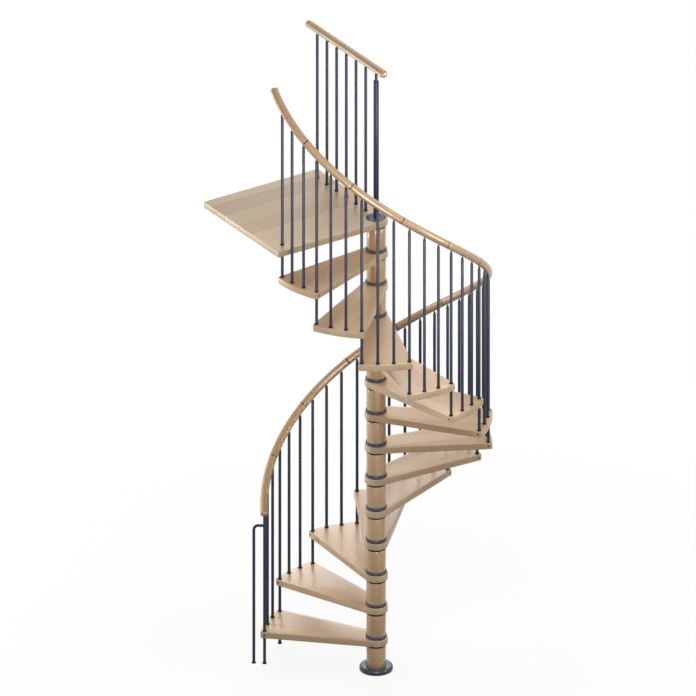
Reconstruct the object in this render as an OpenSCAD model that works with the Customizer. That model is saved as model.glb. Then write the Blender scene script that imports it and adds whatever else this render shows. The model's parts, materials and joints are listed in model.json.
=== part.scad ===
// Spiral staircase with a timber column, timber treads, a square landing and steel balusters.
// The column stands on the origin, +Z is up, and the landing lies along -X and +Y.
// The flight climbs clockwise, seen from above. All lengths are millimetres.

/* [Flight] */
// Height from the lower floor to the top of the landing
floor_to_floor = 3030; // [2700:10:3300]
// Number of treads below the landing
tread_count = 13; // [11:1:14]
// Turn of the flight for each tread, in degrees
turn_per_tread = 24.65; // [22:0.05:25.5]
// Radius of the treads' outer edge
stair_r = 700; // [600:5:850]
// Thickness of a tread
tread_t = 40; // [30:1:50]
// Radius of the round end of a tread at the column
hub_r = 70; // [66:1:85]
// Width of tread left outside its end balusters, along the outer edge
tread_margin = 17; // [15:1:24]
// Radius of the treads' outer corners
tread_corner_r = 12; // [4:1:14]

/* [Column] */
// Diameter of the steel pole inside the column
pole_d = 48; // [40:1:60]
// Diameter of the timber sleeves between the treads
sleeve_d = 118; // [100:1:124]
// Diameter of the ring on top of each tread
upper_ring_d = 127; // [124:1:132]
// Height of the ring on top of each tread
upper_ring_h = 21; // [14:1:26]
// Radius of the rounded edges of the upper ring
upper_ring_round = 6; // [2:1:6]
// Diameter of the thin ring under each tread
lower_ring_d = 118; // [112:1:126]
// Height of the thin ring under each tread
lower_ring_h = 15; // [10:1:20]
// Radius of the rounded edges of the lower ring
lower_ring_round = 2; // [1:0.5:2.5]

/* [Base] */
// Diameter of the round cover at the foot of the column
cover_d = 202; // [200:1:240]
// Height of the cover
cover_h = 30; // [24:1:40]
// Radius of the cover's rounded shoulder
cover_round = 12; // [6:1:14]
// Depth of the seat that the lowest sleeve stands in
sleeve_seat = 8; // [4:1:12]
// Diameter of the steel plate under the cover
plate_d = 180; // [170:1:186]
// Thickness of the steel plate
plate_t = 8; // [6:1:10]
// Diameter of the circle through the plate's fixing holes
bolt_circle_d = 136; // [120:1:146]
// Diameter of each fixing hole
bolt_hole_d = 11; // [9:0.5:14]
// Number of fixing holes
bolt_count = 4; // [3:1:6]

/* [Balusters] */
// Diameter of the baluster tubes
baluster_d = 18; // [14:0.5:20]
// Distance from the treads' outer edge in to the balusters' centres
baluster_inset = 24; // [22:1:32]
// Diameter of the collars at the foot of the balusters
collar_d = 26; // [24:0.5:30]
// Height of the collars
collar_h = 6; // [4:0.5:10]
// Radius of the collars' rounded top edge
collar_round = 3; // [1:0.5:3]
// Wall of the short sleeve where a long baluster leaves the tread above
ferrule_wall = 2; // [1.5:0.25:3]
// Height of that short sleeve
ferrule_h = 11; // [8:1:16]
// Height of the tapered pin on top of a baluster
tip_h = 15; // [12:1:24]
// Diameter of the tapered pin at its foot
tip_foot_d = 15; // [12:0.5:16]
// Diameter of the tapered pin where it meets the handrail
tip_top_d = 10; // [6:0.5:11]
// Height of the feet on the floor
foot_h = 8; // [6:0.5:12]
// Thickness of a foot below its tube
foot_floor = 2; // [1.5:0.5:4]

/* [Handrail] */
// Diameter of the round handrail
handrail_d = 48; // [40:1:54]
// Height of the handrail's centre over the line through the tread edges
handrail_height = 920; // [860:1:1000]
// Number of pieces in the flight handrail
handrail_pieces = 13; // [10:1:14]
// Length of handrail past the lowest baluster, along the baluster circle
handrail_start = 117; // [80:1:130]
// Length of handrail past the highest baluster, along the baluster circle
handrail_end = 110; // [80:1:130]
// Extra run of the first and the last handrail piece
handrail_end_extra = 17; // [0:1:30]
// Radius of the rounded rim at a free end of a handrail
handrail_end_round = 14; // [6:1:18]
// Bevel of the handrail pieces at a joint
joint_bevel = 1.2; // [0.5:0.1:2]

/* [Start tube] */
// Distance of the bent start tube outside the lowest baluster
start_tube_offset = 65; // [60:1:90]
// Height of the start tube's upper leg
start_tube_h = 924; // [800:1:960]
// Bend radius of the start tube, at its centre line
start_tube_bend = 30; // [24:1:40]
// Diameter of the start tube
start_tube_d = 18; // [14:0.5:20]

/* [Landing] */
// Distance that the landing's two outer edges reach past the radius of the treads
landing_margin = 49; // [30:1:150]
// Thickness of the landing
landing_t = 40; // [30:1:50]
// Radius of the landing's three outer corners
landing_corner_r = 5; // [2:1:12]
// Diameter of the disc that closes the column on the landing
cap_d = 120; // [100:1:130]
// Height of that disc
cap_h = 3; // [2:0.5:6]
// Diameter of the post on the column
post_d = 33; // [28:1:40]
// Distance from the top of the post up to the centre of the landing handrail
post_drop = 77; // [60:1:120]
// Height of the bevel at the top of the post
post_bevel = 6; // [4:1:9]
// Number of balusters on the landing
landing_baluster_count = 6; // [5:1:7]
// Distance from the column's axis to the first landing baluster
first_landing_baluster = 115; // [90:1:130]
// Distance from the last landing baluster to the landing's edge
last_landing_baluster = 103; // [80:1:120]
// Height of the landing handrail's centre above the landing
landing_rail_height = 997; // [980:1:1100]
// Length of the landing handrail past the post
landing_rail_start = 97; // [70:1:120]
// Length of the landing handrail past the landing's edge
landing_rail_end = 0; // [0:1:20]

/* [Fit] */
// Clearance round tubes in their holes and under the handrail
fit_gap = 0.3; // [0.1:0.05:0.4]
// Sides of the round flight handrail
handrail_sides = 20; // [16:4:24]
// Steps along each piece of the flight handrail
handrail_steps = 8; // [6:1:9]

/* [Hidden] */
gaps_per_tread = 3;
riser = floor_to_floor / (tread_count + 1);
last_baluster = gaps_per_tread * tread_count;
gap_angle = turn_per_tread / gaps_per_tread;
gap_rise = riser / gaps_per_tread;
landing_angle = 180;
baluster_r = stair_r - baluster_inset;
landing_reach = stair_r + landing_margin;
post_h = landing_rail_height - post_drop;
gap_run = baluster_r * gap_angle * PI / 180;
gap_length = norm([gap_run, gap_rise]);
rail_slope = atan(gap_rise / gap_run);
pole_hole_r = pole_d / 2 + fit_gap;
tube_hole_r = baluster_d / 2 + fit_gap;
first_sleeve_z = cover_h - sleeve_seat;
landing_z = floor_to_floor;
landing_baluster_end = landing_reach - last_landing_baluster;
landing_baluster_gap = (landing_baluster_end - first_landing_baluster) / (landing_baluster_count - 1);
round_fn = 64;
small_fn = 32;
hub_steps = 24;
rim_steps = 24;
corner_steps = 6;

STEEL = "#474c58";
DARK_STEEL = "#26282f";
BLACK = "#1c1c20";
RING = "#4b5058";
BEECH = "#d9bd94";
PALE_BEECH = "#dfc7a6";
RAIL_BEECH = "#d6b282";
COLUMN_BEECH = "#c2a27c";

TREADS = [for (n = [1 : tread_count]) n];
RAIL_PIECES = [for (n = [1 : handrail_pieces]) n];

// A node's name with a number of two digits.
function numbered(name, n) = str(name, "_", n < 10 ? "0" : "", n);

// Height of the top of tread n, where the landing is the last one.
function tread_z(n) = n * riser;

// Angle of baluster i, counted from 0 at the foot of the flight.
function baluster_angle(i) = landing_angle + (last_baluster - i) * gap_angle;

// True where a baluster runs down through a tread to the one below.
function is_long(i) = i % gaps_per_tread == 0;

// The tread that a baluster stands on, or 0 for the floor.
function standing_tread(i) = i <= gaps_per_tread ? (is_long(i) ? 0 : 1) : ceil(i / gaps_per_tread);

// The treads that baluster i stands on or passes, each with a collar on top.
function collared_treads(i) = is_long(i)
    ? [for (n = [i / gaps_per_tread, i / gaps_per_tread + 1]) if (n >= 1) n]
    : [ceil(i / gaps_per_tread)];

// The treads that have a hole for baluster i.
function pierced_treads(i) = [for (n = collared_treads(i)) if (n != standing_tread(i)) n];

// Height of the flight handrail's centre over baluster i, which may be a fraction.
function rail_z(i) = tread_z(1) + i * gap_rise + handrail_height;

// Top of the pin on baluster i, just clear of the sloping underside of the handrail.
function tip_z(i) = rail_z(i) - handrail_d / 2 / cos(rail_slope) - tip_top_d / 2 * tan(rail_slope) - fit_gap;

// Top of the pins under the level landing handrail.
function landing_tip_z() = landing_z + landing_rail_height - handrail_d / 2 - fit_gap;

function landing_baluster_y(k) = first_landing_baluster + k * landing_baluster_gap;

// Places its children at baluster i.
module at_baluster(i) {
    rotate(baluster_angle(i)) translate([baluster_r, 0, 0]) children();
}

// A flat ring whose outer edges are rounded at the bottom, the top, or both.
module rounded_ring(outer_r, inner_r, height, edge_r, round_bottom = true) {
    rotate_extrude($fn = round_fn) difference() {
        union() {
            square([outer_r - edge_r, height]);
            translate([0, round_bottom ? edge_r : 0])
                square([outer_r, height - (round_bottom ? 2 : 1) * edge_r]);
            translate([outer_r - edge_r, height - edge_r]) circle(edge_r, $fn = small_fn);
            if (round_bottom) translate([outer_r - edge_r, edge_r]) circle(edge_r, $fn = small_fn);
        }
        translate([-outer_r, -height]) square([outer_r + inner_r, 3 * height]);
    }
}

// Steel plate that is bolted to the floor and carries the pole.
module base_plate() {
    color(DARK_STEEL) difference() {
        cylinder(d = plate_d, h = plate_t, $fn = round_fn);
        for (k = [0 : bolt_count - 1])
            rotate(45 + k * 360 / bolt_count) translate([bolt_circle_d / 2, 0, -1])
                cylinder(d = bolt_hole_d, h = plate_t + 2, $fn = small_fn);
    }
}

// Round cover with a rounded shoulder, a recess for the plate and a seat for the lowest sleeve.
module base_cover() {
    shoulder_r = cover_d / 2 - cover_round;
    color(RING) rotate_extrude($fn = round_fn) difference() {
        union() {
            square([shoulder_r, cover_h]);
            square([cover_d / 2, cover_h - cover_round]);
            translate([shoulder_r, cover_h - cover_round]) circle(cover_round, $fn = small_fn);
        }
        translate([-cover_d, -cover_h]) square([cover_d + pole_hole_r, 3 * cover_h]);
        translate([0, -1]) square([plate_d / 2 + fit_gap, plate_t + 1]);
        translate([0, first_sleeve_z]) square([sleeve_d / 2 + fit_gap, cover_h]);
    }
}

// Steel pole that stands on the plate and holds all rings, sleeves and treads in line.
module center_pole() {
    color(DARK_STEEL) translate([0, 0, plate_t])
        cylinder(d = pole_d, h = landing_z - plate_t, $fn = round_fn);
}

// One timber sleeve below tread n.
module column_sleeve(n) {
    bottom = n == 1 ? first_sleeve_z : tread_z(n - 1) + upper_ring_h;
    top = tread_z(n) - (n > tread_count ? landing_t : tread_t) - lower_ring_h;
    translate([0, 0, bottom]) difference() {
        cylinder(d = sleeve_d, h = top - bottom, $fn = round_fn);
        translate([0, 0, -1]) cylinder(r = pole_hole_r, h = top - bottom + 2, $fn = round_fn);
    }
}

module column_sleeves() {
    color(COLUMN_BEECH) for (n = [1 : tread_count + 1]) column_sleeve(n);
}

// Bulging rings that stand on the treads round the pole.
module upper_rings() {
    color(RING) for (n = TREADS) translate([0, 0, tread_z(n)])
        rounded_ring(upper_ring_d / 2, pole_hole_r, upper_ring_h, upper_ring_round);
}

// Thin rings that carry each tread and the landing on the sleeve below.
module lower_rings() {
    color(DARK_STEEL) for (n = [1 : tread_count + 1])
        translate([0, 0, tread_z(n) - (n > tread_count ? landing_t : tread_t) - lower_ring_h])
            rounded_ring(lower_ring_d / 2, pole_hole_r, lower_ring_h, lower_ring_round);
}

// Points along an arc, counter-clockwise from one angle to another.
function arc_points(center, r, from, to, steps) =
    [for (k = [0 : steps]) let (a = from + (to - from) * k / steps) center + r * [cos(a), sin(a)]];

// Outline of a tread about the X axis: a round hub, two straight edges that are tangent to it,
// rounded corners that touch those edges, and an outer edge on the stair's radius.
module tread_outline() {
    half_angle = turn_per_tread / 2 + asin(tread_margin / stair_r);
    edge_angle = half_angle - asin(hub_r / stair_r);
    corner_reach = sqrt(pow(stair_r - tread_corner_r, 2) - pow(hub_r - tread_corner_r, 2));
    corner = (hub_r - tread_corner_r) * [-sin(edge_angle), cos(edge_angle)]
        + corner_reach * [cos(edge_angle), sin(edge_angle)];
    rim_angle = atan2(corner.y, corner.x);
    polygon(concat(
        arc_points([0, 0], hub_r, 90 + edge_angle, 270 - edge_angle, hub_steps),
        arc_points([corner.x, -corner.y], tread_corner_r, -90 - edge_angle, -rim_angle, corner_steps),
        arc_points([0, 0], stair_r, -rim_angle, rim_angle, rim_steps),
        arc_points(corner, tread_corner_r, rim_angle, 90 + edge_angle, corner_steps)
    ));
}

// Tread n, with the hole for the pole and the holes for the balusters that pass through.
module tread(n) {
    middle = gaps_per_tread * (n - 0.5);
    color(PALE_BEECH) translate([0, 0, tread_z(n) - tread_t]) difference() {
        linear_extrude(tread_t) rotate(baluster_angle(middle)) tread_outline();
        translate([0, 0, -1]) cylinder(r = pole_hole_r, h = tread_t + 2, $fn = round_fn);
        for (i = [gaps_per_tread * (n - 1), gaps_per_tread * n])
            if (len([for (t = pierced_treads(i)) if (t == n) t]) > 0)
                at_baluster(i) translate([0, 0, -1])
                    cylinder(r = tube_hole_r, h = tread_t + 2, $fn = small_fn);
    }
}

// Square landing whose inner corner is rounded about the column.
module landing_outline() {
    low = landing_corner_r - landing_reach;
    high = landing_reach - landing_corner_r;
    inner = hub_r - landing_corner_r;
    circle(hub_r, $fn = round_fn);
    translate([low, -hub_r]) square([-low, landing_reach + hub_r]);
    translate([-landing_reach, -inner]) square([landing_reach, high + inner]);
    square([hub_r, high]);
    square([inner, landing_reach]);
    for (p = [[low, -inner], [low, high], [inner, high]])
        translate(p) circle(landing_corner_r, $fn = small_fn);
}

module landing() {
    color(BEECH) translate([0, 0, landing_z - landing_t]) difference() {
        linear_extrude(landing_t) landing_outline();
        translate([0, 0, -1]) cylinder(r = pole_hole_r, h = landing_t + 2, $fn = round_fn);
        at_baluster(last_baluster) translate([0, 0, -1])
            cylinder(r = tube_hole_r, h = landing_t + 2, $fn = small_fn);
    }
}

// Disc that closes the top of the column.
module landing_cap() {
    color(RING) translate([0, 0, landing_z])
        rounded_ring(cap_d / 2, 0, cap_h, cap_h / 3, round_bottom = false);
}

// Post on the column, with a bevelled shoulder and a thin stub that carries the landing handrail.
module landing_post() {
    shoulder = post_h - post_bevel;
    stub_top = landing_tip_z() - tip_h - landing_z;
    color(STEEL) translate([0, 0, landing_z]) {
        translate([0, 0, cap_h]) cylinder(d = post_d, h = shoulder - cap_h, $fn = round_fn);
        translate([0, 0, shoulder])
            cylinder(d1 = post_d, d2 = post_d - post_bevel, h = post_bevel, $fn = round_fn);
        translate([0, 0, shoulder]) cylinder(d = baluster_d, h = stub_top - shoulder, $fn = small_fn);
    }
}

// A tube from one height to another.
module baluster(bottom, top) {
    translate([0, 0, bottom]) cylinder(d = baluster_d, h = top - bottom, $fn = small_fn);
}

module landing_balusters() {
    color(STEEL) for (k = [0 : landing_baluster_count - 1])
        translate([0, landing_baluster_y(k), 0]) baluster(landing_z, landing_tip_z() - tip_h);
}

// Level handrail over the landing, as one turned bar with rounded ends.
module landing_handrail() {
    rail_r = handrail_d / 2;
    length = landing_rail_start + landing_reach + landing_rail_end;
    face_r = rail_r - handrail_end_round;
    color(RAIL_BEECH) translate([0, -landing_rail_start, landing_z + landing_rail_height])
        rotate([-90, 0, 0]) rotate_extrude($fn = round_fn) {
            square([face_r, length]);
            translate([0, handrail_end_round]) square([rail_r, length - 2 * handrail_end_round]);
            for (end = [handrail_end_round, length - handrail_end_round])
                intersection() {
                    translate([face_r, end]) circle(handrail_end_round, $fn = small_fn);
                    square([rail_r, length]);
                }
        }
}

// Point k of the round section of the flight handrail, with radius r, over baluster i.
// The section stands square to the slope, and its first point is the lowest.
function rail_point(i, r, k) =
    let (a = baluster_angle(i), turn = 360 * k / handrail_sides - 90,
         outward = [cos(a), sin(a), 0],
         upward = [-sin(a) * sin(rail_slope), cos(a) * sin(rail_slope), cos(rail_slope)])
    baluster_r * outward + [0, 0, rail_z(i)] + r * (cos(turn) * outward + sin(turn) * upward);

// Sections near an end of a handrail piece, each as [distance from the end, radius].
function bevelled_end() = [[0, handrail_d / 2 - joint_bevel], [joint_bevel, handrail_d / 2]];
function rounded_end() = [for (t = [0 : 22.5 : 90])
    [handrail_end_round * (1 - cos(t)), handrail_d / 2 - handrail_end_round * (1 - sin(t))]];

// The same list from its last entry to its first.
function reversed(list) = [for (k = [len(list) - 1 : -1 : 0]) list[k]];

// Place of joint j of the flight handrail, counted in balusters; joint 0 and the last are its free ends.
function handrail_joint(j) =
    let (first = -handrail_start / gap_run, last = last_baluster + handrail_end / gap_run,
         extra = handrail_end_extra / gap_run)
    j == 0 ? first : j == handrail_pieces ? last :
    first + extra + j * (last - first - 2 * extra) / handrail_pieces;

// Piece n of the flight handrail, swept along the helix over the balusters.
module handrail(n) {
    low = handrail_joint(n - 1);
    span = handrail_joint(n) - low;
    low_end = n == 1 ? rounded_end() : bevelled_end();
    high_end = n == handrail_pieces ? rounded_end() : bevelled_end();
    sections = concat(
        [for (e = low_end) [low + e[0] / gap_length, e[1]]],
        [for (k = [1 : handrail_steps - 1]) [low + span * k / handrail_steps, handrail_d / 2]],
        [for (e = reversed(high_end)) [low + span - e[0] / gap_length, e[1]]]
    );
    points = [for (s = sections) for (k = [0 : handrail_sides - 1]) rail_point(s[0], s[1], k)];
    last = (len(sections) - 1) * handrail_sides;
    skin = [for (j = [0 : len(sections) - 2]) for (k = [0 : handrail_sides - 1])
        let (a = j * handrail_sides + k, b = j * handrail_sides + (k + 1) % handrail_sides)
        each [[a, a + handrail_sides, b + handrail_sides], [a, b + handrail_sides, b]]];
    low_face = [for (k = [0 : handrail_sides - 1]) k];
    high_face = [for (k = [handrail_sides - 1 : -1 : 0]) last + k];
    color(RAIL_BEECH) polyhedron(points, concat([low_face], skin, [high_face]));
}

// Balusters that pass through one tread and stand on the one below, or on the floor.
module long_balusters() {
    color(STEEL) for (i = [0 : gaps_per_tread : last_baluster])
        at_baluster(i) baluster(standing_tread(i) == 0 ? foot_floor : tread_z(standing_tread(i)), tip_z(i) - tip_h);
}

// Balusters that stand on one tread only.
module short_balusters() {
    color(STEEL) for (i = [0 : last_baluster]) if (!is_long(i))
        at_baluster(i) baluster(tread_z(standing_tread(i)), tip_z(i) - tip_h);
}

module collar() {
    rounded_ring(collar_d / 2, tube_hole_r, collar_h, collar_round, round_bottom = false);
}

// Collars round the balusters of the flight, on each tread that they stand on or pass.
module baluster_collars() {
    color(BLACK) for (i = [0 : last_baluster]) for (n = collared_treads(i))
        at_baluster(i) translate([0, 0, tread_z(n)]) collar();
}

// Short sleeves where the long balusters come out below a tread or the landing.
module tread_ferrules() {
    color(BLACK) for (i = [0 : gaps_per_tread : last_baluster]) for (n = pierced_treads(i))
        at_baluster(i) translate([0, 0, tread_z(n) - (n > tread_count ? landing_t : tread_t) - ferrule_h])
            difference() {
                cylinder(r = tube_hole_r + ferrule_wall, h = ferrule_h, $fn = small_fn);
                translate([0, 0, -1]) cylinder(r = tube_hole_r, h = ferrule_h + 2, $fn = small_fn);
            }
}

// Tapered pins between the balusters of the flight and its handrail.
module baluster_tips() {
    color(BLACK) for (i = [0 : last_baluster])
        at_baluster(i) translate([0, 0, tip_z(i) - tip_h]) tip();
}

// Collars and pins of the landing balusters, and the pin on the post.
module landing_fittings() {
    color(BLACK) {
        for (k = [0 : landing_baluster_count - 1])
            translate([0, landing_baluster_y(k), landing_z]) collar();
        for (y = concat([0], [for (k = [0 : landing_baluster_count - 1]) landing_baluster_y(k)]))
            translate([0, y, landing_tip_z() - tip_h]) tip();
    }
}

module tip() {
    cylinder(d1 = tip_foot_d, d2 = tip_top_d, h = tip_h, $fn = small_fn);
}

// Bent tube outside the lowest baluster: a leg, a quarter bend and a short run to the baluster.
module start_tube() {
    leg_r = baluster_r + start_tube_offset;
    run_end = baluster_r + baluster_d / 2 + fit_gap;
    color(STEEL) rotate(baluster_angle(0)) {
        translate([leg_r, 0, foot_floor])
            cylinder(d = start_tube_d, h = start_tube_h - start_tube_bend - foot_floor, $fn = small_fn);
        translate([leg_r - start_tube_bend, 0, start_tube_h - start_tube_bend]) rotate([90, 0, 0])
            rotate_extrude(angle = 90, $fn = round_fn)
                translate([start_tube_bend, 0]) circle(d = start_tube_d, $fn = small_fn);
        translate([run_end, 0, start_tube_h]) rotate([0, 90, 0])
            cylinder(d = start_tube_d, h = leg_r - start_tube_bend - run_end, $fn = small_fn);
    }
}

// Cup-shaped foot of a tube that stands on the floor.
module foot() {
    difference() {
        rounded_ring(collar_d / 2, 0, foot_h, collar_round, round_bottom = false);
        translate([0, 0, foot_floor]) cylinder(r = tube_hole_r, h = foot_h, $fn = small_fn);
    }
}

module floor_feet() {
    color(BLACK) {
        for (i = [0, gaps_per_tread]) at_baluster(i) foot();
        rotate(baluster_angle(0)) translate([baluster_r + start_tube_offset, 0, 0]) foot();
    }
}

base_plate();
base_cover();
center_pole();
column_sleeves();
upper_rings();
lower_rings();
for (n = TREADS) tread(n);
landing();
landing_cap();
landing_post();
landing_balusters();
landing_handrail();
for (n = RAIL_PIECES) handrail(n);
long_balusters();
short_balusters();
baluster_collars();
tread_ferrules();
baluster_tips();
landing_fittings();
start_tube();
floor_feet();
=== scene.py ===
"""Spiral staircase with beech treads, dressed over its CAD frame. All lengths are metres."""

import json
import logging
import math
from collections.abc import Callable, Iterator, Sequence
from contextlib import contextmanager
from dataclasses import dataclass
from enum import Enum
from typing import ClassVar

import bmesh
import bpy
from mathutils import Matrix, Quaternion, Vector

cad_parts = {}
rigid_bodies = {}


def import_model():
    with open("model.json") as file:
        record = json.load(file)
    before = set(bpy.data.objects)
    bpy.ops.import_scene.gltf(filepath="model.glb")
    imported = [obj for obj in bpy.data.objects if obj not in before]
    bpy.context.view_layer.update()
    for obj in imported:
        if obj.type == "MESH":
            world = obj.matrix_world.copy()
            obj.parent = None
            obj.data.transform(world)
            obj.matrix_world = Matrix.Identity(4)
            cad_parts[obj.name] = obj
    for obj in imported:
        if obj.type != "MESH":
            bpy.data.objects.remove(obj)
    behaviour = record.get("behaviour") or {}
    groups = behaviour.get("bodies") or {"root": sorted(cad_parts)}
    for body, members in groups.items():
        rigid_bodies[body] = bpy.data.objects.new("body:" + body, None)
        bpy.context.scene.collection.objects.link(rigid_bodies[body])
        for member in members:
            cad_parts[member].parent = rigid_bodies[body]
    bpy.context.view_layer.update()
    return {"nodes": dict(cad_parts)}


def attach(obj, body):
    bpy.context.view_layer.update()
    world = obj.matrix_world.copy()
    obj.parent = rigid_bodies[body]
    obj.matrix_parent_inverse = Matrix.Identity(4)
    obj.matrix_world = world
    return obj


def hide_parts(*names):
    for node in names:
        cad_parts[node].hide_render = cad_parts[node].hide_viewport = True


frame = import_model()
log = logging.getLogger("staircase")

Piece = bpy.types.Object
Socket = bpy.types.NodeSocket
Colour = tuple[float, float, float, float]
Point = tuple[float, float, float]

WHITE: Colour = (1.0, 1.0, 1.0, 1.0)
UP = Vector((0.0, 0.0, 1.0))
# Two places nearer to each other than this count as one.
NEAR = 1e-4
# A face looks along an axis if its normal has this share of it.
FACING = 0.9
# A drill starts and stops this far outside the wood.
OVERRUN = 0.01


def rgb(red: float, green: float, blue: float) -> Colour:
    """A linear colour from the three values that a colour chart prints.

    Args:
        red: Red, from 0 to 255.
        green: Green, from 0 to 255.
        blue: Blue, from 0 to 255.

    Returns:
        The colour, with no transparency.
    """
    values = [channel / 255 for channel in (red, green, blue)]
    linear = [v / 12.92 if v <= 0.04045 else ((v + 0.055) / 1.055) ** 2.4 for v in values]
    return (linear[0], linear[1], linear[2], 1.0)


def lift(height: float) -> Matrix:
    """Placement on the column's axis, at a height."""
    return Matrix.Translation((0.0, 0.0, height))


# Shared sizes


@dataclass(frozen=True)
class StairPlan:
    """Sizes that several sub-assemblies share, in metres and radians."""

    floor_to_floor: float = 3.030
    tread_count: int = 13
    turn: float = math.radians(24.65)
    gaps_per_tread: int = 3
    outer_r: float = 0.700
    hub_r: float = 0.070
    board_t: float = 0.040
    pole_hole_r: float = 0.0243
    baluster_circle: float = 0.676
    tube_r: float = 0.009
    tube_hole_r: float = 0.0093
    tip_h: float = 0.015
    tip_top_r: float = 0.005
    foot_floor: float = 0.002
    rail_r: float = 0.024
    rail_height: float = 0.920
    gap: float = 0.0003

    @property
    def treads(self) -> range:
        """Numbers of the treads, from the lowest up."""
        return range(1, self.tread_count + 1)

    @property
    def boards(self) -> range:
        """Numbers of the treads and then of the landing."""
        return range(1, self.tread_count + 2)

    @property
    def balusters(self) -> range:
        """Numbers of the balusters of the flight, from the lowest up."""
        return range(self.last_baluster + 1)

    @property
    def riser(self) -> float:
        """Rise of one step."""
        return self.floor_to_floor / (self.tread_count + 1)

    @property
    def last_baluster(self) -> int:
        """Number of the highest baluster of the flight; the lowest is 0."""
        return self.gaps_per_tread * self.tread_count

    @property
    def gap_angle(self) -> float:
        """Turn from one baluster to the next."""
        return self.turn / self.gaps_per_tread

    @property
    def gap_rise(self) -> float:
        """Rise from one baluster to the next."""
        return self.riser / self.gaps_per_tread

    @property
    def gap_run(self) -> float:
        """Run from one baluster to the next, along their circle."""
        return self.baluster_circle * self.gap_angle

    @property
    def slope(self) -> float:
        """Slope of the flight handrail."""
        return math.atan2(self.gap_rise, self.gap_run)

    def tread_z(self, number: int) -> float:
        """Height of the top of a tread, where the landing is the last one."""
        return number * self.riser

    def under_z(self, number: int) -> float:
        """Height of the underside of a tread or of the landing."""
        return self.tread_z(number) - self.board_t

    def baluster_angle(self, index: float) -> float:
        """Angle of a baluster about the column."""
        return math.pi + (self.last_baluster - index) * self.gap_angle

    def rail_z(self, index: float) -> float:
        """Height of the flight handrail's centre over a baluster."""
        return self.riser + index * self.gap_rise + self.rail_height

    def tip_z(self, index: float) -> float:
        """Top of the pin on a baluster, just under the sloping handrail."""
        under = self.rail_r / math.cos(self.slope) + self.tip_top_r * math.tan(self.slope)
        return self.rail_z(index) - under - self.gap

    def at_baluster(self, index: float, height: float) -> Matrix:
        """Placement of a piece on a baluster's axis, at a height."""
        turn = Matrix.Rotation(self.baluster_angle(index), 4, "Z")
        return turn @ Matrix.Translation((self.baluster_circle, 0.0, height))

    def is_long(self, index: int) -> bool:
        """True where a baluster passes through a tread."""
        return index % self.gaps_per_tread == 0

    def standing_tread(self, index: int) -> int:
        """The tread that a baluster stands on, or 0 for the floor, as for the two lowest long ones."""
        return 0 if index == self.gaps_per_tread else math.ceil(index / self.gaps_per_tread)

    def collared_treads(self, index: int) -> list[int]:
        """The treads that a baluster stands on or passes.

        Args:
            index: Number of the baluster.

        Returns:
            Their numbers, where the landing has the number after the last tread.
        """
        first = math.ceil(index / self.gaps_per_tread)
        last = first + 1 if self.is_long(index) else first
        return [number for number in range(first, last + 1) if number in self.boards]

    def pierced_treads(self, index: int) -> list[int]:
        """The treads that have a hole for a baluster."""
        return [number for number in self.collared_treads(index) if number != self.standing_tread(index)]


# The bench


class Kind(Enum):
    """What is picked in edit mode."""

    VERT = "VERT"
    EDGE = "EDGE"
    FACE = "FACE"


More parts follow.
